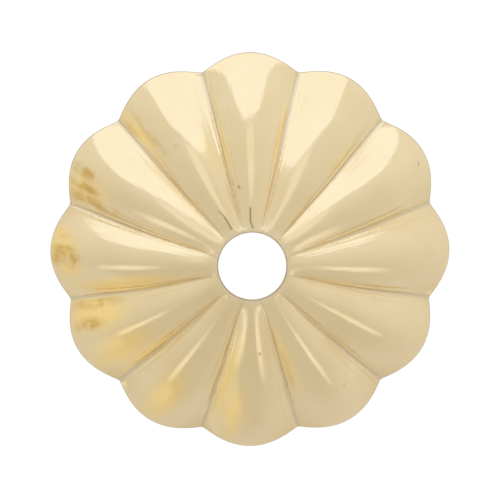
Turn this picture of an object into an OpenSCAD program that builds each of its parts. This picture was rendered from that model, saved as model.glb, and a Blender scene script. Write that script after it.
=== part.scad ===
// Fluted bead cap: a thin dome of sheet metal pressed into twelve petals, with a thread hole at its top.
// It stands dome up on its rim. The origin is the middle of the plane it stands on, and +Z runs up the hole's axis.
// A ridge runs down the middle of each petal, and a groove runs down between two petals to a notch in the rim.

/* [Dome] */
// Diameter across the tips of opposite petals
tip_d = 12; // [11:0.1:15]
// Height from the plane that it stands on to the top
cap_h = 3; // [2.7:0.1:3.3]
// Thickness of the sheet metal
sheet_t = 0.18; // [0.12:0.01:0.24]

/* [Thread hole] */
// Diameter of the hole for the thread, wire or head pin
hole_d = 2; // [1:0.1:2.4]
// Width of the flat ring round the hole, before the petals begin
ring_w = 0.1; // [0.05:0.05:0.4]

/* [Petals] */
// Number of petals
petals = 12; // [8:2:14]
// How far the notches in the rim stand back from the tips
notch_depth = 0.41; // [0.2:0.01:0.5]
// Rounding of the notches, from 0.04 for a sharp nick to 0.5 for a wave
notch_round = 0.07; // [0.04:0.01:0.5]
// Rounding of the grooves where they reach the rim, on the same scale
groove_round = 0.26; // [0.08:0.01:0.5]
// Rounding of the grooves where they leave the flat ring, on the same scale
crown_round = 0.18; // [0.1:0.02:1]

/* [Line down a groove] */
// Slope at the flat ring, in degrees, before the step is added
groove_start = 22; // [8:1:26]
// Depth of the step down into a groove at the flat ring
step_drop = 0.06; // [0:0.01:0.08]
// Distance over which the step rounds off
step_run = 0.2; // [0.1:0.05:0.3]
// Drop from the top to the shoulder
groove_drop = 1.61; // [1.45:0.01:1.85]
// Slope at the shoulder, in degrees
groove_slope = 42; // [34:1:48]
// Slope at the rim, in degrees
groove_end = 24; // [20:1:45]

/* [Line down a ridge] */
// Slope at the flat ring, in degrees
ridge_start = 9; // [2:1:12]
// Drop from the top to the shoulder
ridge_drop = 1.17; // [1.05:0.01:1.35]
// Slope at the shoulder, in degrees
ridge_slope = 33; // [28:1:42]
// Slope at the tip of the petal, in degrees
ridge_end = 54; // [48:1:60]

/* [Shoulder] */
// Share of the way from the flat ring to the rim where the shoulder lies
shoulder = 0.68; // [0.6:0.02:0.74]

/* [Surface steps] */
// Steps across one petal
steps_across = 10; // [6:2:12]
// Steps from the flat ring to the rim
steps_down = 15; // [10:1:16]

/* [Hidden] */

tip_r = tip_d / 2;
notch_r = tip_r - notch_depth;
ring_r = hole_d / 2 + ring_w;
columns = petals * steps_across;
skin_points = columns * (steps_down + 1);
// Above 1, the steps down the dome are shorter at the flat ring than at the rim.
crown_crowding = 1.2;
nudge_u = 0.0005;
nudge_a = 0.02;

// How much of a petal there is at an angle: 1 on its ridge and 0 in the groove beside it.
// The rounding turns the crease at the bottom of the groove into a soft wave.
function petal(a, rounding) =
    (sqrt(pow(cos(petals / 2 * (a - 90)), 2) + pow(rounding, 2)) - rounding)
    / (sqrt(1 + pow(rounding, 2)) - rounding);

// Radius of the scalloped rim at an angle.
function rim_r(a) = notch_r + notch_depth * petal(a, notch_round);

// Smooth curve over a width, from one height and gradient to another, with t from 0 to 1 along it.
function curve(t, width, from, from_gradient, to, to_gradient) =
    (2 * pow(t, 3) - 3 * pow(t, 2) + 1) * from
    + (pow(t, 3) - 2 * pow(t, 2) + t) * width * from_gradient
    + (3 * pow(t, 2) - 2 * pow(t, 3)) * to
    + (pow(t, 3) - pow(t, 2)) * width * to_gradient;

// Drop below the top along a line down the dome: one curve to the shoulder and one on to the rim.
// The outer skin ends a little above the plane that the cap stands on, because the sheet is cut off square.
function drop(u, run, start, shoulder_drop, slope, end) =
    u < shoulder
    ? curve(u / shoulder, shoulder * run, 0, tan(start), shoulder_drop, tan(slope))
    : curve((u - shoulder) / (1 - shoulder), (1 - shoulder) * run,
            shoulder_drop, tan(slope), cap_h - sheet_t * cos(end), tan(end));

// Extra drop of a groove beside the flat ring, which fades out towards the rim.
function step_at(u) = step_drop * (1 - exp(-u * (notch_r - ring_r) / step_run)) * pow(1 - u, 2);

function groove_at(u) =
    drop(u, notch_r - ring_r, groove_start, groove_drop, groove_slope, groove_end) + step_at(u);
function ridge_at(u) = drop(u, tip_r - ring_r, ridge_start, ridge_drop, ridge_slope, ridge_end);

// A point of the outer skin: u is 0 at the flat ring and 1 at the rim.
function outer(u, a) =
    let (
        r = ring_r + u * (rim_r(a) - ring_r),
        p = petal(a, crown_round + (groove_round - crown_round) * u),
        z = cap_h - groove_at(u) + (groove_at(u) - ridge_at(u)) * p
    )
    [r * cos(a), r * sin(a), z];

// Direction straight out of the outer skin.
function out_from(u, a) =
    let (
        down = outer(u + nudge_u, a) - outer(max(u - nudge_u, 0), a),
        round_about = outer(u, a + nudge_a) - outer(u, a - nudge_a),
        n = cross(down, round_about)
    )
    n / norm(n);

// A point of the inner skin, one sheet thickness below the outer skin.
// Under the edge of the flat ring, where two slopes meet, it is their mitre.
function inner(u, a) =
    let (n = out_from(u, a))
    outer(u, a) - sheet_t * (u > 0 ? n : (n + [0, 0, 1]) / (1 + n.z));

// Number of a point in the list of points: skin 0 is the outer one, and columns run round.
function at(skin, ring, column) = skin * skin_points + ring * columns + column % columns;

// The two triangles of one patch, given its four corners in order.
function patch(p, q, r, s) = [[p, q, r], [p, r, s]];

// The thin dome, closed at the top: the cylinder in bead_cap() opens its hole.
module dome_shell() {
    turns = [for (j = [0 : columns - 1]) j * 360 / columns];
    downs = [for (i = [0 : steps_down]) pow(i / steps_down, crown_crowding)];
    outer_skin = [for (u = downs, a = turns) outer(u, a)];
    inner_skin = [for (u = downs, a = turns) inner(u, a)];
    outer_faces = [for (i = [0 : steps_down - 1], j = [0 : columns - 1])
        each patch(at(0, i, j), at(0, i, j + 1), at(0, i + 1, j + 1), at(0, i + 1, j))];
    inner_faces = [for (i = [0 : steps_down - 1], j = [0 : columns - 1])
        each patch(at(1, i, j), at(1, i + 1, j), at(1, i + 1, j + 1), at(1, i, j + 1))];
    rim_faces = [for (i = [steps_down], j = [0 : columns - 1])
        each patch(at(0, i, j), at(0, i, j + 1), at(1, i, j + 1), at(1, i, j))];
    crown_top = [[for (j = [columns - 1 : -1 : 0]) at(0, 0, j)]];
    crown_under = [[for (j = [0 : columns - 1]) at(1, 0, j)]];
    polyhedron(
        points = concat(outer_skin, inner_skin),
        faces = concat(outer_faces, inner_faces, rim_faces, crown_top, crown_under),
        convexity = 6
    );
}

// The cap: the dome with its thread hole punched through the flat ring.
module bead_cap() {
    color([0.86, 0.74, 0.52])
    difference() {
        dome_shell();
        translate([0, 0, cap_h - 2 * sheet_t])
        cylinder(d = hole_d, h = 3 * sheet_t, $fn = 96);
    }
}

bead_cap();
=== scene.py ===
"""A fluted bead cap of thin gold-coloured sheet metal, with its finish, studio and camera."""

import math

import bpy
import numpy as np
from bpy.props import FloatProperty, FloatVectorProperty, IntProperty, PointerProperty
from mathutils import Matrix, Vector


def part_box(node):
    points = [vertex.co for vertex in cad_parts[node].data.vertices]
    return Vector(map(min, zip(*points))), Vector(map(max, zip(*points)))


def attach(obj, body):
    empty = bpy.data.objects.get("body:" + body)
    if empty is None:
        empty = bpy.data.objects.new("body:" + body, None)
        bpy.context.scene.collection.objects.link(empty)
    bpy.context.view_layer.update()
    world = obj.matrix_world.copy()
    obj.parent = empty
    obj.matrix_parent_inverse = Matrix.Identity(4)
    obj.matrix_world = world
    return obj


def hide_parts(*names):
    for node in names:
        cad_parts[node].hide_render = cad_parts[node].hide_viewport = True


bl_info = {
    "name": "Fluted bead cap",
    "version": (1, 0, 0),
    "blender": (4, 5, 0),
    "location": "3D View > Sidebar > Bead cap",
    "description": "Presses a fluted bead cap from sheet metal, finishes it in pale gold and lights it",
    "category": "Object",
}

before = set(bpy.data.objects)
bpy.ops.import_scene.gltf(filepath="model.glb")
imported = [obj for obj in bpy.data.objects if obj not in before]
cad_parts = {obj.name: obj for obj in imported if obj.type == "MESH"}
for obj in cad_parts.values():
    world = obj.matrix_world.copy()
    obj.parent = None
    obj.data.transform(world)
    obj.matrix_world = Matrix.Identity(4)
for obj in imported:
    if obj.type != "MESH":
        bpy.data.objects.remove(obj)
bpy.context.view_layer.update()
CAP_NODE = "bead_cap"
CAP_BODY = "root"
CAP_LOW, CAP_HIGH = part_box(CAP_NODE)
MM = 0.001

# Columns of the grid on one petal, how much they crowd towards the grooves, and rows on each surface.
PETAL_COLUMNS = 48
CROWDING = 0.6
OUTER_ROWS = 94
INNER_ROWS = 44
RING_ROWS = 5
CUT_ROWS = 7

# Power of the superellipse along a cut edge: a higher one keeps more of the edge square.
CUT_SQUARENESS = 3

# Steps to either side, as a share of the run and as an angle, that give the direction out of the sheet.
NUDGE_SHARE = 0.0005
NUDGE_ANGLE = 0.0003

# Unevenness: its seed, its number of waves, and the shortest and the longest of them.
WAVER_SEED = 12
WAVES = 14
SHORTEST_WAVE = 0.5 * MM
LONGEST_WAVE = 3 * MM

# Wrinkles beside the grooves: their seed, and their spacing and reach as shares of a petal.
WRINKLE_SEED = 4
WRINKLE_SHARE = 0.065
WRINKLE_REACH = 0.13

# How fast creases and wrinkles deepen past the flat ring, and the power by which relief fades at the rim.
CREASE_RISE = 40
RIM_FADE = 4


def length(name, description, default):
    """A length in metres for a panel, with enough digits for thin sheet metal."""
    return FloatProperty(
        name=name, description=description, default=default, unit="LENGTH", precision=5, min=0
    )


def slope(name, description, degrees):
    """A slope or a tilt for a panel, given in degrees and kept in radians."""
    return FloatProperty(
        name=name, description=description, default=math.radians(degrees), subtype="ANGLE", min=0
    )


def share(name, description, default):
    """A plain number from 0 to 1 for a panel."""
    return FloatProperty(name=name, description=description, default=default, min=0, max=1)


def colour(name, description, default):
    """A linear colour for a panel."""
    return FloatVectorProperty(
        name=name, description=description, default=default, subtype="COLOR", min=0, soft_max=1
    )


class CapShape(bpy.types.PropertyGroup):
    """Sizes of the pressed sheet. Those down to the ridge's end are the solid's own, the others finer."""

    tip_radius: length("Tip radius", "From the middle to the tip of a petal", CAP_HIGH.x)
    height: length("Height", "From the plane it stands on to the flat ring", CAP_HIGH.z)
    sheet: length("Sheet", "Thickness of the sheet metal", 0.18 * MM)
    hole_radius: length("Hole radius", "Radius of the thread hole", 1.0 * MM)
    ring_width: length("Ring width", "Flat ring round the hole, before the petals begin", 0.1 * MM)
    petals: IntProperty(name="Petals", description="Number of petals", default=12, min=3)
    notch_depth: length("Notch depth", "How far the notches stand back from the tips", 0.41 * MM)
    notch_round: share("Notch rounding", "From a sharp nick to a wave", 0.07)
    groove_round: share("Groove rounding", "Rounding of the grooves at the rim", 0.26)
    crown_round: share("Crown rounding", "Rounding of the grooves at the flat ring", 0.18)
    shoulder: share("Shoulder", "Share of the way down where the shoulder lies", 0.68)
    groove_start: slope("Groove start", "Slope of a groove at the flat ring, without its step", 22)
    step_drop: length("Step", "Depth of the step down into a groove at the flat ring", 0.06 * MM)
    step_run: length("Step run", "Distance over which the step rounds off", 0.2 * MM)
    groove_drop: length("Groove drop", "Drop of a groove at the shoulder", 1.61 * MM)
    groove_slope: slope("Groove slope", "Slope of a groove at the shoulder", 42)
    groove_end: slope("Groove end", "Slope of a groove at the rim", 24)
    ridge_start: slope("Ridge start", "Slope of a ridge at the flat ring", 9)
    ridge_drop: length("Ridge drop", "Drop of a ridge at the shoulder", 1.17 * MM)
    ridge_slope: slope("Ridge slope", "Slope of a ridge at the shoulder", 33)
    ridge_end: slope("Ridge end", "Slope of a ridge at the tip of the petal", 54)
    ring_roll: length("Ring roll", "Width over which the flat ring rolls into the petals", 0.03 * MM)
    edge_round: length("Edge rounding", "Rounding of the cut edges at the rim and the hole", 0.035 * MM)
    waver: length("Waver", "Greatest depth of the unevenness that pressing leaves", 0.012 * MM)
    crease: length("Crease", "Depth of the fine crease along the bottom of each groove", 0.028 * MM)
    crease_width: length("Crease width", "Half the width of the fine crease", 0.055 * MM)
    wrinkle: length("Wrinkles", "Depth of the wrinkles beside each groove, before they fade", 0.02 * MM)


class CapFinish(bpy.types.PropertyGroup):
    """Colours and gloss of the gold finish. Some of the colours are painted reflections and painted shade.
    """

    gold: colour("Gold", "Colour of the polished outside", (0.87, 0.72, 0.44))
    # Painted reflection: lighter, warmer gold near the rim, where neighbouring gold pieces are mirrored in
    # the metal.
    warm: colour("Warm gold", "Colour of the lighter gold patches near the rim", (1.0, 0.75, 0.3))
    # Painted reflection: darker gold near the rim, where neighbouring gold pieces are mirrored deeper. The
    # same colour is laid beside the grooves as painted shade, and the tone drifts towards it at random.
    brown: colour("Brown gold", "Colour of the darker gold patches near the rim", (0.68, 0.45, 0.13))
    # Painted shade: the darker, duller tone in the bottom of the grooves, where the flanks mirror each
    # other.
    groove: colour("Groove", "Colour in the bottom of the grooves", (0.64, 0.55, 0.39))
    worn: colour("Worn ring", "Colour where the plating of the flat ring is worn", (0.87, 0.78, 0.55))
    inside: colour("Inside", "Colour of the duller inside", (0.74, 0.58, 0.32))
    # Partly painted shade: the sheet's own metal at the cut edges, darkened further for the shade that these
    # thin edges take.
    edge: colour("Cut edge", "Colour of the sheet's own metal at the cut edges", (0.5, 0.41, 0.27))
    soil: colour("Soil", "Colour in scratches and specks", (0.17, 0.12, 0.05))
    polish: share("Polish", "Roughness of the outside", 0.1)
    satin: share("Satin", "Roughness of the inside", 0.3)


class CapStudio(bpy.types.PropertyGroup):
    """Light, floor and camera."""

    surround: colour("Surround", "Colour of the world on the dim side", (0.72, 0.695, 0.66))
    bright: colour("Bright side", "Colour of the world round the soft box", (0.95, 0.94, 0.945))
    floor: colour("Floor", "Colour of the floor", (1.0, 1.0, 1.0))
    box_tint: colour("Box tint", "Colour of the soft box", (0.98, 1.02, 1.14))
    dim_tint: colour("Dim tint", "Colour of the dimmer cards", (1.0, 0.99, 1.0))
    tilt: slope("Camera tilt", "How far the camera stands off the vertical, towards the top petal", 9.3)
    side: slope("Camera side", "How far the camera stands to the left", 1.3)
    fill: share("Fill", "Share of the picture's width that the cap fills", 0.8)
    lens: FloatProperty(name="Lens", description="Focal length in millimetres", default=300, min=50)


def petal(angle, rounding, petals):
    """How much of a petal there is at an angle: 1 on its ridge and 0 in the groove beside it.
    It is the root of a cosine's square plus the rounding's square, brought to run from 0 to 1."""
    wave = np.sqrt(np.cos(petals / 2 * (angle - np.pi / 2)) ** 2 + rounding**2)
    return (wave - rounding) / (np.sqrt(1 + rounding**2) - rounding)


def curve(along, width, start, start_gradient, end, end_gradient):
    """A cubic over a width, from one height and gradient to another, with along from 0 to 1."""
    return (
        (2 * along**3 - 3 * along**2 + 1) * start
        + (along**3 - 2 * along**2 + along) * width * start_gradient
        + (3 * along**2 - 2 * along**3) * end
        + (along**3 - along**2) * width * end_gradient
    )


def drop(shape, u, run, start, shoulder_drop, shoulder_slope, end):
    """Drop below the flat ring along a line down the dome: one cubic to the shoulder and one on to the rim.
    The corner at the flat ring is softened by a rounded ramp, which is 0 well away from it."""
    shoulder = shape.shoulder
    down = np.maximum(u, 0)
    bend = math.tan(shoulder_slope)
    upper = curve(down / shoulder, shoulder * run, 0, math.tan(start), shoulder_drop, bend)
    rim_drop = shape.height - shape.sheet * math.cos(end)
    along = (down - shoulder) / (1 - shoulder)
    lower = curve(along, (1 - shoulder) * run, shoulder_drop, bend, rim_drop, math.tan(end))
    past_ring = u * run / shape.ring_roll
    ramp = np.logaddexp(0, past_ring) - np.maximum(past_ring, 0)
    return np.where(down < shoulder, upper, lower) + ramp * shape.ring_roll * math.tan(start)


def step(shape, u, run):
    """Extra drop of a groove beside the flat ring: an exponential approach to the step's depth, which
    then fades out with the square of the share that is left to the rim."""
    down = np.maximum(u, 0)
    return shape.step_drop * (1 - np.exp(-down * run / shape.step_run)) * (1 - down) ** 2


def waver(x, y):
    """Slight unevenness from 0 to 1: a sum of seeded plane waves, whose heights grow with their lengths."""
    draw = np.random.default_rng(WAVER_SEED)
    total = np.zeros_like(x)
    weight = 0
    for wave_length in np.geomspace(SHORTEST_WAVE, LONGEST_WAVE, WAVES):
        heading = draw.uniform(0, 2 * np.pi)
        phase = draw.uniform(0, 2 * np.pi)
        along = x * math.cos(heading) + y * math.sin(heading)
        total += wave_length * np.sin(2 * np.pi * along / wave_length + phase)
        weight += wave_length
    return 0.5 + 0.5 * total / weight


def rim_radius(shape, angle):
    """Radius of the scalloped rim: that of the notches, plus the notch depth times the petal's share."""
    notch_radius = shape.tip_radius - shape.notch_depth
    return notch_radius + shape.notch_depth * petal(angle, shape.notch_round, shape.petals)


def petal_run(shape, angle):
    """Distance from the flat ring to the rim at an angle, seen from above."""
    return rim_radius(shape, angle) - shape.hole_radius - shape.ring_width


def rim_fade(u):
    """How much of some relief is left on the way to the rim: 1 less a power of the share down the dome."""
    return 1 - np.clip(u, 0, 1) ** RIM_FADE


def fine_crease(shape, u, angle, radius):
    """Depth of the fine crease along the bottom of a groove, and of the wrinkles that fan out beside it.
    The crease is a bell of the distance to the groove's line. The wrinkles are a cosine of the share of a
    petal away from it, shifted by a seeded amount at each groove. They deepen with the radius, and die away
    by a bell of that share and towards the rim. Both start from nothing at the flat ring, by an exponential
    approach to their depth."""
    turn = (angle - np.pi / 2) * shape.petals / (2 * np.pi)
    number = np.floor(turn).astype(int) % shape.petals
    side = turn % 1 - 0.5
    away = radius * side * 2 * np.pi / shape.petals
    line = shape.crease * np.exp(-((away / shape.crease_width) ** 2))
    shift = np.random.default_rng(WRINKLE_SEED).uniform(0, 2 * np.pi, shape.petals)[number]
    wave = 0.5 + 0.5 * np.cos(2 * np.pi * side / WRINKLE_SHARE + shift)
    depth = shape.wrinkle * radius / shape.tip_radius
    wrinkles = depth * wave * np.exp(-((side / WRINKLE_REACH) ** 2)) * rim_fade(u)
    risen = 1 - np.exp(-CREASE_RISE * np.maximum(u, 0))
    return risen * (line + wrinkles)


def outer_skin(shape, u, angle):
    """Points of the outer skin, with u 0 at the flat ring and 1 at the rim.
    The height is the groove's line, plus the petal's share of the way from it up to the ridge's line, less
    the unevenness, which fades towards the rim, and the fine crease and wrinkles."""
    ring_radius = shape.hole_radius + shape.ring_width
    tip_run = shape.tip_radius - ring_radius
    groove = drop(
        shape, u, tip_run - shape.notch_depth,
        shape.groove_start, shape.groove_drop, shape.groove_slope, shape.groove_end,
    )
    groove += step(shape, u, tip_run - shape.notch_depth)
    ridge = drop(
        shape, u, tip_run,
        shape.ridge_start, shape.ridge_drop, shape.ridge_slope, shape.ridge_end,
    )
    rounding = shape.crown_round + (shape.groove_round - shape.crown_round) * np.clip(u, 0, 1)
    radius = ring_radius + u * petal_run(shape, angle)
    x = radius * np.cos(angle)
    y = radius * np.sin(angle)
    z = shape.height - groove + (groove - ridge) * petal(angle, rounding, shape.petals)
    uneven = shape.waver * waver(x, y) * rim_fade(u)
    return np.stack([x, y, z - uneven - fine_crease(shape, u, angle, radius)], -1)


def wall(shape, u, angle, depth):
    """Points in the sheet at a depth through it, 0 on the outer skin and 1 on the inner one.
    Each lies that share of the sheet's thickness below the outer skin, square to it."""
    down = outer_skin(shape, u + NUDGE_SHARE, angle) - outer_skin(shape, u - NUDGE_SHARE, angle)
    across = outer_skin(shape, u, angle + NUDGE_ANGLE) - outer_skin(shape, u, angle - NUDGE_ANGLE)
    out = np.cross(down, across)
    out /= np.linalg.norm(out, axis=-1, keepdims=True)
    return outer_skin(shape, u, angle) - shape.sheet * depth[..., None] * out


def cut_edge(shape, rows):
    """Depths through the sheet along a cut edge, and how far it is pulled back at each.
    The pull is a superellipse: none over most of the thickness, and the whole rounding at the faces."""
    depth = (1 - np.cos(np.pi * np.arange(1, rows + 1) / (rows + 1))) / 2
    off_middle = np.abs(2 * depth - 1) ** CUT_SQUARENESS
    pull = 1 - (1 - off_middle) ** (1 / CUT_SQUARENESS)
    return depth[:, None], shape.edge_round * pull[:, None]


def column_angles(shape):
    """Angles of the grid's columns: even steps plus a sine, so they crowd where the sheet bends most."""
    even = np.arange(shape.petals * PETAL_COLUMNS) / PETAL_COLUMNS
    crowded = even + CROWDING * np.sin(2 * np.pi * even) / (2 * np.pi)
    return np.pi / 2 + crowded * 2 * np.pi / shape.petals


def cap_grid(shape):
    """The closed sheet as a grid that runs round the hole and round the wall: the outer skin from the hole
    to the rim, the rim's cut edge, the inner skin back up, and the hole's cut edge.
    Returns the points, the share down the dome and the depth, and the surface that the faces below each row
    belong to: 0 outside, 1 inside, 2 cut edge."""
    angle = column_angles(shape)[None, :]
    run = petal_run(shape, angle)
    at_hole = (shape.edge_round - shape.ring_width) / run
    at_rim = 1 - shape.edge_round / run

    def skin(rows):
        """Shares down the dome for a skin's rows: evenly over the flat ring, then evenly to the rim."""
        ring = at_hole * (1 - np.arange(RING_ROWS) / RING_ROWS)[:, None]
        petals = at_rim * np.linspace(0, 1, rows - RING_ROWS)[:, None]
        return np.concatenate([ring, petals])

    outer_u = skin(OUTER_ROWS)
    inner_u = skin(INNER_ROWS)[::-1]
    depth, pull = cut_edge(shape, CUT_ROWS)
    rim_u = 1 - pull / run
    hole_u = (pull[::-1] - shape.ring_width) / run
    u = np.concatenate([outer_u, rim_u, inner_u, hole_u])
    deep = np.concatenate([np.zeros((OUTER_ROWS, 1)), depth, np.ones((INNER_ROWS, 1)), depth[::-1]])
    surface = np.repeat([0, 2, 1, 2], [OUTER_ROWS - 1, CUT_ROWS + 1, INNER_ROWS - 1, CUT_ROWS + 1])
    deep = np.broadcast_to(deep, u.shape)
    points = wall(shape, u, np.broadcast_to(angle, u.shape), deep)
    points[..., 2] = np.maximum(points[..., 2], CAP_LOW.z)
    return points, u, deep, surface


# Painted reflections: streaks of lighter, warmer gold near the rim, where neighbouring gold pieces are
# mirrored
# in the metal. Columns: angle round the cap and radius in mm of the middle,
# length along the petal and width across it in mm, and strength.
WARM_REFLECTION_STREAKS = (
    (49, 3.9, 0.8, 0.3, 0.3),
    (77.5, 3.7, 1.6, 0.16, 0.6),
    (103, 3.35, 1.4, 0.18, 0.6),
    (111.5, 3.4, 1.2, 0.4, 0.25),
    (132, 4.9, 1.5, 0.35, 0.85),
    (158.5, 5.3, 1.4, 0.9, 0.7),
    (156.2, 5.4, 0.6, 0.25, 1.0),
    (173.5, 5.65, 0.35, 0.3, 1.0),
    (178, 5.65, 1.0, 0.9, 0.9),
    (184.5, 5.4, 0.8, 0.6, 0.7),
    (190.5, 3.8, 2.8, 0.5, 1.0),
    (200.5, 4.9, 1.8, 1.0, 1.0),
    (215, 4.75, 2.0, 1.0, 1.0),
    (222.5, 4.1, 2.2, 0.5, 1.0),
    (238.5, 4.9, 1.8, 0.85, 1.0),
    (258.5, 3.8, 2.8, 0.55, 0.9),
    (263.5, 4.7, 1.9, 0.6, 1.0),
    (289, 3.2, 2.2, 0.4, 0.6),
)

# Painted reflections too: streaks of darker, browner gold, where the mirrored neighbours look deeper, with
# the same values in the same order.
BROWN_REFLECTION_STREAKS = (
    (49, 3.9, 0.6, 0.2, 0.25),
    (129.5, 4.5, 1.8, 0.25, 0.5),
    (133.5, 5.1, 0.8, 0.2, 0.3),
    (153.5, 5.5, 0.8, 0.35, 0.85),
    (157.5, 5.35, 0.9, 0.3, 0.95),
    (161.5, 5.0, 1.8, 0.4, 0.65),
    (173.5, 5.65, 0.5, 0.35, 0.6),
    (178.5, 5.55, 0.7, 0.3, 0.8),
    (181.5, 5.5, 0.9, 0.55, 1.0),
    (197.5, 4.7, 1.5, 0.3, 0.7),
    (203.5, 5.3, 1.0, 0.35, 0.75),
    (224.5, 4.2, 1.6, 0.14, 0.7),
    (254.8, 4.0, 1.8, 0.14, 0.6),
    (273, 5.2, 1.0, 0.5, 0.25),
    (288, 3.3, 2.0, 0.3, 0.3),
)

# Scratches: angle and radius in mm of the start and of the end, and strength.
SCRATCHES = (
    (89.5, 1.15, 92.5, 1.35, 0.8),
    (92.5, 1.35, 92, 1.7, 0.9),
    (118.8, 1.25, 119.3, 1.68, 0.85),
    (119.3, 1.68, 121.5, 1.9, 0.5),
)
SCRATCH_WIDTH = 0.022 * MM

# Specks: angle round the cap and radius in mm of each, and strength.
SPECKS = (
    (28, 5.67, 0.4),
    (99.5, 2.33, 0.85),
    (123, 4.1, 0.3),
    (222, 3.2, 0.3),
    (275, 2.7, 0.85),
    (306, 4.76, 0.4),
)
SPECK_RADIUS = 0.035 * MM

# Bells round the grooves: the rounding of the petals that they follow, and the petal's share by which the
# crease, with its painted shade and its ripple, and the painted shade in the lines beside it have died away
# to about a third.
BELL_ROUND = 0.03
CREASE_REACH = 0.2
BESIDE_REACH = 0.4

# Wear of the flat ring: how strong it is, and how far it reaches past the ring.
WORN_STRENGTH = 0.35
WORN_REACH = 0.12 * MM


def place_round(degrees, radius):
    """A point seen from above, from its angle in degrees and its radius in mm."""
    turn = math.radians(degrees)
    return np.array([math.cos(turn), math.sin(turn)]) * radius * MM


def reflection_streak_mask(streaks, x, y):
    """Where a painted reflection lies, from 0 to 1: the strongest of the streaks. Each falls off from its
    middle by an exponential of the cube of the distance, measured against its length and width."""
    mask = np.zeros_like(x)
    for degrees, radius, long, wide, strength in streaks:
        turn = math.radians(degrees)
        along = x * math.cos(turn) + y * math.sin(turn) - radius * MM
        across = y * math.cos(turn) - x * math.sin(turn)
        reach = np.hypot(2 * along / (long * MM), 2 * across / (wide * MM))
        mask = np.maximum(mask, strength * np.exp(-(reach**3)))
    return mask


def soil_mask(x, y):
    """Where dirt sits, from 0 to 1: the strongest bell of the distance to a scratch or a speck."""
    mask = np.zeros_like(x)
    for from_degrees, from_radius, to_degrees, to_radius, strength in SCRATCHES:
        start = place_round(from_degrees, from_radius)
        way = place_round(to_degrees, to_radius) - start
        along = np.clip(((x - start[0]) * way[0] + (y - start[1]) * way[1]) / (way @ way), 0, 1)
        away = (x - start[0] - along * way[0]) ** 2 + (y - start[1] - along * way[1]) ** 2
        mask = np.maximum(mask, strength * np.exp(-away / SCRATCH_WIDTH**2))
    for degrees, radius, strength in SPECKS:
        spot = place_round(degrees, radius)
        away = (x - spot[0]) ** 2 + (y - spot[1]) ** 2
        mask = np.maximum(mask, strength * np.exp(-away / SPECK_RADIUS**2))
    return mask


def groove_bell(shape, angle, reach):
    """How close a point is to the bottom of a groove: 1 in it, less by a bell of the petal's share."""
    return np.exp(-((petal(angle, BELL_ROUND, shape.petals) / reach) ** 2))


def worn_mask(shape, x, y):
    """How worn the plating is: most on the flat ring, and a bell of the distance past it."""
    past_ring = np.maximum(np.hypot(x, y) - shape.hole_radius - shape.ring_width, 0)
    return WORN_STRENGTH * np.exp(-((past_ring / WORN_REACH) ** 2))


def finish_masks(shape, points, u, deep):
    """The masks that the finish reads, by name. Warm and brown place painted reflections, crease places
    painted shade in the grooves and their ripple, and beside places painted shade beside them. The crease is
    on both skins, the wear stops at the cut edges, and the others fade to nothing through the thickness of
    the sheet."""
    x = points[..., 0]
    y = points[..., 1]
    around = np.arctan2(y, x)
    outside = 1 - deep
    return {
        # Painted reflections of neighbouring gold pieces, lighter and darker.
        "warm": reflection_streak_mask(WARM_REFLECTION_STREAKS, x, y) * outside,
        "brown": reflection_streak_mask(BROWN_REFLECTION_STREAKS, x, y) * outside,
        "soil": soil_mask(x, y) * outside,
        # Painted shade in the bottom of the grooves, and where their ripple lies.
        "crease": groove_bell(shape, around, CREASE_REACH),
        "worn": worn_mask(shape, x, y) * (deep == 0),
        # Painted shade in the press lines beside the grooves.
        "beside": groove_bell(shape, around, BESIDE_REACH) * rim_fade(u) * outside,
    }


def grid_mesh(name, points, surface):
    """A mesh of quads on a grid that closes both ways, with faces outwards and a material for each row."""
    rows, columns = points.shape[:2]
    number = np.arange(rows * columns).reshape(rows, columns)
    below = np.roll(number, -1, 0)
    quads = np.stack([number, below, np.roll(below, -1, 1), np.roll(number, -1, 1)], -1).reshape(-1, 4)
    mesh = bpy.data.meshes.new(name)
    mesh.from_pydata(points.reshape(-1, 3), [], quads)
    mesh.polygons.foreach_set("material_index", np.repeat(surface, columns).astype(np.int32))
    mesh.polygons.foreach_set("use_smooth", np.ones(len(quads), bool))
    mesh.update()
    return mesh


def add_attribute(mesh, name, values):
    """Puts one number on each vertex of a mesh."""
    layer = mesh.attributes.new(name, "FLOAT", "POINT")
    layer.data.foreach_set("value", values.astype(np.float32).ravel())


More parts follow.
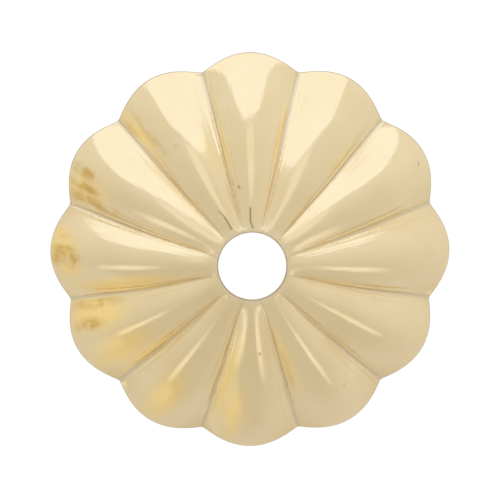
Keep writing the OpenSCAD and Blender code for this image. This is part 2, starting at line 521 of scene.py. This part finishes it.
class NodeSheet:
    """A short way to add nodes to a tree and link them."""

    def __init__(self, tree):
        self.tree = tree

    def add(self, kind, settings=None, **inputs):
        """Adds a node. Settings are its properties, and inputs are values, or sockets to link from.
        An input's name is the socket's name in small letters with underscores, or its number after an n."""
        node = self.tree.nodes.new(kind)
        for key, value in (settings or {}).items():
            setattr(node, key, value)
        for key, value in inputs.items():
            self.set(node, key, value)
        return node

    def set(self, node, key, value):
        """Sets or links one input of a node."""
        if key[0] == "n" and key[1:].isdigit():
            socket = node.inputs[int(key[1:])]
        else:
            socket = next(s for s in node.inputs if s.name.lower().replace(" ", "_") == key and s.enabled)
        if isinstance(value, bpy.types.NodeSocket):
            self.tree.links.new(value, socket)
        else:
            socket.default_value = value

    def math(self, operation, first, second=0.0, clamp=False):
        """Adds a Math node and returns its result."""
        settings = {"operation": operation, "use_clamp": clamp}
        return self.add("ShaderNodeMath", settings, n0=first, n1=second).outputs[0]

    def mix(self, factor, first, second):
        """Mixes two colours and returns the result."""
        node = self.add("ShaderNodeMix", {"data_type": "RGBA"}, n0=factor, n6=first, n7=second)
        return node.outputs[2]

    def vector(self, operation, output=0, **inputs):
        """Adds a Vector Math node and returns one of its results."""
        return self.add("ShaderNodeVectorMath", {"operation": operation}, **inputs).outputs[output]

    def noise(self, place, scale, detail, roughness):
        """Adds a Noise Texture that is read at a place, and returns its value."""
        node = self.add("ShaderNodeTexNoise", vector=place, scale=scale, detail=detail, roughness=roughness)
        return node.outputs[0]

    def attribute(self, name):
        """Reads one of the numbers on the mesh's vertices."""
        return self.add("ShaderNodeAttribute", {"attribute_name": name}).outputs["Fac"]

    def band(self, value, low, high, start=0.0, end=1.0):
        """Carries a value from one span to another, in a smooth step that stays between its ends."""
        node = self.add(
            "ShaderNodeMapRange", {"interpolation_type": "SMOOTHSTEP"},
            n0=value, n1=low, n2=high, n3=start, n4=end,
        )
        return node.outputs[0]


def node_group(name, inputs, outputs):
    """A new shader node group with its sockets, and its sheet, input node and output node."""
    tree = bpy.data.node_groups.new(name, "ShaderNodeTree")
    for socket, kind, default in inputs:
        item = tree.interface.new_socket(name=socket, in_out="INPUT", socket_type=kind)
        if default is not None:
            item.default_value = default
    for socket, kind in outputs:
        tree.interface.new_socket(name=socket, in_out="OUTPUT", socket_type=kind)
    sheet = NodeSheet(tree)
    return tree, sheet, tree.nodes.new("NodeGroupInput"), tree.nodes.new("NodeGroupOutput")


def empty_material(name):
    """A new material without nodes, and the sheet to add them with."""
    material = bpy.data.materials.new(name)
    material.use_nodes = True
    material.node_tree.nodes.clear()
    return material, NodeSheet(material.node_tree)


# Press lines: the radius of the circle on which their noise is read, where a larger one gives finer lines,
# and how many of its cells a line crosses in a metre.
LINE_FINENESS = 42.0
LINE_CELLS = 700.0

# Noises: cells to the metre, levels of finer detail, and how rough those are. The noise of the press lines
# is read at a place that is already scaled.
LINE_NOISE = (1.0, 3.0, 0.6)
GRAIN_NOISE = (9000.0, 4.0, 0.6)
RIPPLE_NOISE = (4500.0, 2.0, 0.5)
CLOUD_NOISE = (650.0, 3.0, 0.55)
MOTTLE_NOISE = (1600.0, 2.0, 0.5)
PAPER_NOISE = (300.0, 2.0, 0.5)

# Bands: the span of a noise or mask, and what it becomes at both ends, which is 0 and 1 where not given.
CLOUD_BAND = (0.35, 0.7)
STREAK_BAND = (0.35, 0.65, 0.7, 1.2)
MOTTLE_BAND = (0.38, 0.6, 0.2, 1.2)
# Where the painted shade in the grooves comes in.
GROOVE_SHADE_BAND = (0.87, 1.0, 0.0, 0.6)
# Where the painted shade in the press lines beside the grooves comes in.
BESIDE_SHADE_BAND = (0.48, 0.62, 0.0, 0.4)
GLOSS_BAND = (0.3, 0.75, 0.8, 1.5)
PAPER_BAND = (0.3, 0.7)

# The metal: how far its tone drifts, heights in the bump where the press lines' own is 1, and what dirt adds
# to the roughness.
TONE_DRIFT = 0.1
GRAIN_HEIGHT = 0.35
RIPPLE_HEIGHT = 3.5
DIRT_DEPTH = 1.5
DIRT_ROUGHNESS = 0.35

# How far the bump stands up on the outside, the inside and the cut edges.
OUTSIDE_BUMP = 0.005 * MM
INSIDE_BUMP = 0.01 * MM
EDGE_BUMP = 0.006 * MM


def press_lines_group():
    """Fine lines that pressing draws out from the hole, with a fine grain and a coarser ripple. The lines
    are noise, read on a circle at the point's direction from the axis, and lifted off it by the distance.
    So each cell of the noise becomes a line towards the rim, and no seam shows."""
    tree, sheet, given, out = node_group(
        "press lines",
        [("Position", "NodeSocketVector", None), ("Fineness", "NodeSocketFloat", LINE_FINENESS)],
        [("Lines", "NodeSocketFloat"), ("Grain", "NodeSocketFloat"), ("Ripple", "NodeSocketFloat")],
    )
    position = given.outputs["Position"]
    parts = sheet.add("ShaderNodeSeparateXYZ", n0=position)
    flat = sheet.add("ShaderNodeCombineXYZ", n0=parts.outputs[0], n1=parts.outputs[1]).outputs[0]
    circle = sheet.vector("SCALE", n0=sheet.vector("NORMALIZE", n0=flat), scale=given.outputs["Fineness"])
    reach = sheet.vector("LENGTH", "Value", n0=flat)
    lift = sheet.add("ShaderNodeCombineXYZ", n2=sheet.math("MULTIPLY", reach, LINE_CELLS)).outputs[0]
    lines = sheet.noise(sheet.vector("ADD", n0=circle, n1=lift), *LINE_NOISE)
    tree.links.new(lines, out.inputs["Lines"])
    tree.links.new(sheet.noise(position, *GRAIN_NOISE), out.inputs["Grain"])
    tree.links.new(sheet.noise(position, *RIPPLE_NOISE), out.inputs["Ripple"])
    return tree


def tone_and_reflection_group():
    """Uneven tone of a plated finish, and painted reflections. Noise moves a colour a little towards a
    darker one, at random. Then one mask brings in a warm tone and another the darker one: painted
    reflections of neighbouring gold pieces. The press lines break up both, and finer noise the darker one."""
    tree, sheet, given, out = node_group(
        "plating tone",
        [
            ("Position", "NodeSocketVector", None),
            ("Colour", "NodeSocketColor", (0.8, 0.7, 0.4, 1)),
            ("Warm", "NodeSocketColor", (0.9, 0.6, 0.2, 1)),
            ("Dark", "NodeSocketColor", (0.6, 0.4, 0.1, 1)),
            ("Warm Mask", "NodeSocketFloat", 0.0),
            ("Dark Mask", "NodeSocketFloat", 0.0),
            ("Lines", "NodeSocketFloat", 0.5),
            ("Amount", "NodeSocketFloat", TONE_DRIFT),
        ],
        [("Colour", "NodeSocketColor")],
    )
    cloud = sheet.noise(given.outputs["Position"], *CLOUD_NOISE)
    mottle = sheet.noise(given.outputs["Position"], *MOTTLE_NOISE)
    drift = sheet.math("MULTIPLY", sheet.band(cloud, *CLOUD_BAND), given.outputs["Amount"])
    streaky = sheet.band(given.outputs["Lines"], *STREAK_BAND)
    # Painted reflections: the warm mask brings in the lighter gold and the dark mask the darker.
    warm = sheet.math("MULTIPLY", given.outputs["Warm Mask"], streaky, clamp=True)
    spotty = sheet.math("MULTIPLY", streaky, sheet.band(mottle, *MOTTLE_BAND))
    dark = sheet.math("MULTIPLY", given.outputs["Dark Mask"], spotty)
    dark = sheet.math("MAXIMUM", drift, dark, clamp=True)
    mixed = sheet.mix(warm, given.outputs["Colour"], given.outputs["Warm"])
    mixed = sheet.mix(dark, mixed, given.outputs["Dark"])
    tree.links.new(mixed, out.inputs["Colour"])
    return tree


def metal_material(name, groups, finish, tones, roughness, bump):
    """A gold finish. The plating's own tone and the painted reflections come first. Over them lie painted
    shade, as a duller tone in the grooves, a paler tone where the ring is worn, painted shade, as the dark
    tone faintly in the press lines beside the grooves, and soil in the scratches. The roughness follows the
    press lines. The bump is their height and the grain's, with a ripple in the grooves and hollows where the
    soil is."""
    tone, warm, dark = tones
    material, sheet = empty_material(name)
    place = sheet.add("ShaderNodeTexCoord").outputs["Object"]
    crease = sheet.attribute("crease")
    dirt = sheet.attribute("soil")
    pressed = sheet.add(
        "ShaderNodeGroup", {"node_tree": groups["lines"]}, position=place, fineness=LINE_FINENESS
    )
    lines = pressed.outputs["Lines"]
    plating = sheet.add(
        "ShaderNodeGroup", {"node_tree": groups["tone"]},
        position=place, colour=(*tone, 1), warm=(*warm, 1), dark=(*dark, 1),
        # The warm and brown masks carry the painted reflections.
        warm_mask=sheet.attribute("warm"), dark_mask=sheet.attribute("brown"),
        lines=lines, amount=TONE_DRIFT,
    )
    # Painted shade: a darker, duller tone in the bottom of the grooves.
    base = sheet.mix(sheet.band(crease, *GROOVE_SHADE_BAND), plating.outputs["Colour"], (*finish.groove, 1))
    base = sheet.mix(sheet.attribute("worn"), base, (*finish.worn, 1))
    # Painted shade: the dark tone laid faintly in the press lines beside the grooves.
    beside_shade = sheet.math("MULTIPLY", sheet.attribute("beside"), sheet.band(lines, *BESIDE_SHADE_BAND))
    base = sheet.mix(beside_shade, base, (*dark, 1))
    base = sheet.mix(dirt, base, (*finish.soil, 1))
    rough = sheet.math("MULTIPLY", sheet.band(lines, *GLOSS_BAND), roughness)
    rough = sheet.math("ADD", rough, sheet.math("MULTIPLY", dirt, DIRT_ROUGHNESS))
    grain = sheet.math("MULTIPLY", pressed.outputs["Grain"], GRAIN_HEIGHT)
    ripple = sheet.math("MULTIPLY", crease, RIPPLE_HEIGHT)
    ripple = sheet.math("MULTIPLY", pressed.outputs["Ripple"], ripple)
    height = sheet.math("ADD", sheet.math("ADD", lines, grain), ripple)
    height = sheet.math("SUBTRACT", height, sheet.math("MULTIPLY", dirt, DIRT_DEPTH))
    relief = sheet.add("ShaderNodeBump", height=height, distance=bump, strength=1.0)
    metal = sheet.add(
        "ShaderNodeBsdfPrincipled", base_color=base, metallic=1.0, roughness=rough, normal=relief.outputs[0]
    )
    sheet.add("ShaderNodeOutputMaterial", surface=metal.outputs[0])
    return material


class BEADCAP_OT_press(bpy.types.Operator):
    """Press the cap: its thin fluted sheet, with both skins, the cut rim and the thread hole"""

    bl_idname = "beadcap.press"
    bl_label = "Press cap"

    def execute(self, context):
        shape = context.scene.cap_shape
        finish = context.scene.cap_finish
        points, u, deep, surface = cap_grid(shape)
        mesh = grid_mesh("fluted_cap", points, surface)
        for name, values in finish_masks(shape, points, u, deep).items():
            add_attribute(mesh, name, values)
        groups = {"lines": press_lines_group(), "tone": tone_and_reflection_group()}
        for name, tones, roughness, bump in (
            ("polished_gold", (finish.gold, finish.warm, finish.brown), finish.polish, OUTSIDE_BUMP),
            ("inside_gold", (finish.inside, finish.warm, finish.brown), finish.satin, INSIDE_BUMP),
            # The cut edge's colour is the sheet's own metal, darkened further as painted shade.
            ("cut_edge_gold", (finish.edge, finish.inside, finish.soil), finish.satin, EDGE_BUMP),
        ):
            mesh.materials.append(metal_material(name, groups, finish, tones, roughness, bump))
        cap = bpy.data.objects.new("fluted_cap", mesh)
        context.scene.collection.objects.link(cap)
        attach(cap, CAP_BODY)
        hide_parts(CAP_NODE)
        return {"FINISHED"}


# Glowing cards round the cap: name, azimuth from +X and elevation of the middle in degrees, width and
# height in degrees as seen from the cap, brightness, squareness from 2 for an ellipse up, and the share of
# the way out from the middle over which the glow fades.
SOFT_BOX = ("soft_box", 94.5, 0, 79, 71, 1.18, 2.8, 0.05)
DIM_CARDS = (
    ("upper_box", 98, 55, 33, 36, 1.0, 5, 0.1),
    ("left_strip", -146, 29, 22, 60, 1.07, 2, 0.85),
    ("right_strip", -45, 34, 23, 64, 1.08, 2, 0.85),
    ("left_glow", -132, -6, 50, 44, 0.8, 2, 0.7),
)

# Sizes of the stage in metres: how far off the cards are, half the floor's width and its gap below the cap,
# and the nearest and farthest that the camera sees.
CARD_DISTANCE = 0.3
FLOOR_HALF = 0.6
FLOOR_GAP = 0.005 * MM
CAMERA_CLIP = (0.01, 5)

# The floor's glow, and the darker and the lighter tone of its paper.
FLOOR_GLOW = 0.97
PAPER_DARK = (0.13, 0.13, 0.13, 1)
PAPER_LIGHT = (0.15, 0.15, 0.15, 1)

# The way in which the world grows brighter, and where along it that starts and ends.
BRIGHT_WAY = (0.14, 1.0, -0.6)
BRIGHT_START = -1.0
BRIGHT_END = 0.85


def card_material(name, tint, brightness, squareness, faded):
    """A glow that fades to nothing at a card's edge. The fade is a smooth step of the distance out from the
    middle, measured as a superellipse: the root of the sum of the powers of the shares across and up."""
    material, sheet = empty_material(name)
    spot = sheet.add("ShaderNodeTexCoord").outputs["UV"]
    parts = sheet.add("ShaderNodeSeparateXYZ", n0=spot)
    powers = []
    for side in range(2):
        off_middle = sheet.math("ABSOLUTE", sheet.math("SUBTRACT", parts.outputs[side], 0.5))
        powers.append(sheet.math("POWER", sheet.math("MULTIPLY", off_middle, 2.0), squareness))
    out = sheet.math("POWER", sheet.math("ADD", powers[0], powers[1]), 1 / squareness)
    fade = sheet.band(out, 1 - faded, 1.0, 1.0, 0.0)
    glow = sheet.add("ShaderNodeEmission", color=(*tint, 1), strength=brightness).outputs[0]
    clear = sheet.add("ShaderNodeBsdfTransparent").outputs[0]
    mixed = sheet.add("ShaderNodeMixShader", n0=fade, n1=clear, n2=glow).outputs[0]
    sheet.add("ShaderNodeOutputMaterial", surface=mixed)
    return material


def add_card(scene, name, azimuth, elevation, wide, high, material):
    """A flat card that faces the cap, with its middle in the given direction."""
    around = math.radians(azimuth)
    up = math.radians(elevation)
    half_wide = CARD_DISTANCE * math.tan(math.radians(wide / 2))
    half_high = CARD_DISTANCE * math.tan(math.radians(high / 2))
    way = Vector((math.cos(around) * math.cos(up), math.sin(around) * math.cos(up), math.sin(up)))
    side = Vector((-math.sin(around), math.cos(around), 0)) * half_wide
    rise = way.cross(side).normalized() * half_high
    middle = way * CARD_DISTANCE
    corners = [middle - side - rise, middle + side - rise, middle + side + rise, middle - side + rise]
    mesh = bpy.data.meshes.new(name)
    mesh.from_pydata(corners, [], [(0, 3, 2, 1)])
    layer = mesh.uv_layers.new(name="across")
    layer.data.foreach_set("uv", [0, 0, 0, 1, 1, 1, 1, 0])
    mesh.materials.append(material)
    card = bpy.data.objects.new(name, mesh)
    card.visible_camera = False
    scene.collection.objects.link(card)


def floor_material(tint):
    """A white floor that is lit from below, as a light table is, so it stays white through the hole too."""
    material, sheet = empty_material("white_floor")
    grain = sheet.noise(sheet.add("ShaderNodeTexCoord").outputs["Object"], *PAPER_NOISE)
    shade = sheet.mix(sheet.band(grain, *PAPER_BAND), PAPER_DARK, PAPER_LIGHT)
    paper = sheet.add("ShaderNodeBsdfDiffuse", color=shade).outputs[0]
    table = sheet.add("ShaderNodeEmission", color=(*tint, 1), strength=FLOOR_GLOW).outputs[0]
    seen = sheet.add("ShaderNodeAddShader", n0=paper, n1=table).outputs[0]
    sheet.add("ShaderNodeOutputMaterial", surface=seen)
    return material


class BEADCAP_OT_stage(bpy.types.Operator):
    """Lay the floor, hang the glowing cards, set the plain world and place the camera"""

    bl_idname = "beadcap.stage"
    bl_label = "Set stage"

    def execute(self, context):
        scene = context.scene
        studio = scene.cap_studio
        self.lay_floor(scene, studio)
        for tint, cards in ((studio.box_tint, (SOFT_BOX,)), (studio.dim_tint, DIM_CARDS)):
            for name, azimuth, elevation, wide, high, brightness, squareness, faded in cards:
                material = card_material(name, tint, brightness, squareness, faded)
                add_card(scene, name, azimuth, elevation, wide, high, material)
        scene.world = self.make_world(studio)
        scene.view_settings.view_transform = "Standard"
        self.place_camera(scene, studio)
        return {"FINISHED"}

    def make_world(self, studio):
        """A plain world that grows evenly brighter towards the soft box and dimmer overhead."""
        world = bpy.data.worlds.new("surround")
        world.use_nodes = True
        sheet = NodeSheet(world.node_tree)
        way = sheet.add("ShaderNodeTexCoord").outputs["Generated"]
        towards = sheet.vector("DOT_PRODUCT", "Value", n0=way, n1=BRIGHT_WAY)
        near = sheet.add("ShaderNodeMapRange", n0=towards, n1=BRIGHT_START, n2=BRIGHT_END).outputs[0]
        mixed = sheet.mix(near, (*studio.surround, 1), (*studio.bright, 1))
        world.node_tree.links.new(mixed, world.node_tree.nodes["Background"].inputs["Color"])
        return world

    def lay_floor(self, scene, studio):
        """A square of floor, just below what the cap stands on. The metal mirrors the soft box and the
        surround, which go on below it, and not the floor."""
        z = CAP_LOW.z - FLOOR_GAP
        half = FLOOR_HALF
        corners = [(-half, -half, z), (half, -half, z), (half, half, z), (-half, half, z)]
        mesh = bpy.data.meshes.new("floor")
        mesh.from_pydata(corners, [], [(0, 1, 2, 3)])
        mesh.materials.append(floor_material(studio.floor))
        floor = bpy.data.objects.new("floor", mesh)
        floor.visible_glossy = False
        scene.collection.objects.link(floor)

    def place_camera(self, scene, studio):
        """Looks down at the origin, which is the rim's middle, from the top petal's side and from where the
        cap fills its share of the picture."""
        data = bpy.data.cameras.new("camera")
        data.lens = studio.lens
        data.clip_start, data.clip_end = CAMERA_CLIP
        picture = 2 * scene.cap_shape.tip_radius / studio.fill
        distance = picture * data.lens / data.sensor_width
        back = Vector((-math.sin(studio.side), math.sin(studio.tilt), 0))
        back.z = math.sqrt(1 - back.length_squared)
        right = Vector((0, 1, 0)).cross(back).normalized()
        above = back.cross(right)
        camera = bpy.data.objects.new("camera", data)
        turn = Matrix((right, above, back)).transposed().to_4x4()
        camera.matrix_world = Matrix.Translation(back * distance) @ turn
        scene.collection.objects.link(camera)
        scene.camera = camera


class BEADCAP_PT_panel(bpy.types.Panel):
    """The bead cap's operators and sizes"""

    bl_label = "Bead cap"
    bl_idname = "BEADCAP_PT_panel"
    bl_space_type = "VIEW_3D"
    bl_region_type = "UI"
    bl_category = "Bead cap"

    def draw(self, context):
        scene = context.scene
        for operator, settings in (
            (BEADCAP_OT_press, (scene.cap_shape, scene.cap_finish)),
            (BEADCAP_OT_stage, (scene.cap_studio,)),
        ):
            self.layout.operator(operator.bl_idname)
            for group in settings:
                for name in group.__annotations__:
                    self.layout.prop(group, name)


CLASSES = (CapShape, CapFinish, CapStudio, BEADCAP_OT_press, BEADCAP_OT_stage, BEADCAP_PT_panel)


def register():
    for one in CLASSES:
        bpy.utils.register_class(one)
    bpy.types.Scene.cap_shape = PointerProperty(type=CapShape)
    bpy.types.Scene.cap_finish = PointerProperty(type=CapFinish)
    bpy.types.Scene.cap_studio = PointerProperty(type=CapStudio)


def unregister():
    del bpy.types.Scene.cap_studio
    del bpy.types.Scene.cap_finish
    del bpy.types.Scene.cap_shape
    for one in reversed(CLASSES):
        bpy.utils.unregister_class(one)


def main():
    """Registers the classes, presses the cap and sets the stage."""
    register()
    bpy.ops.beadcap.press()
    bpy.ops.beadcap.stage()


if __name__ == "__main__":
    main()
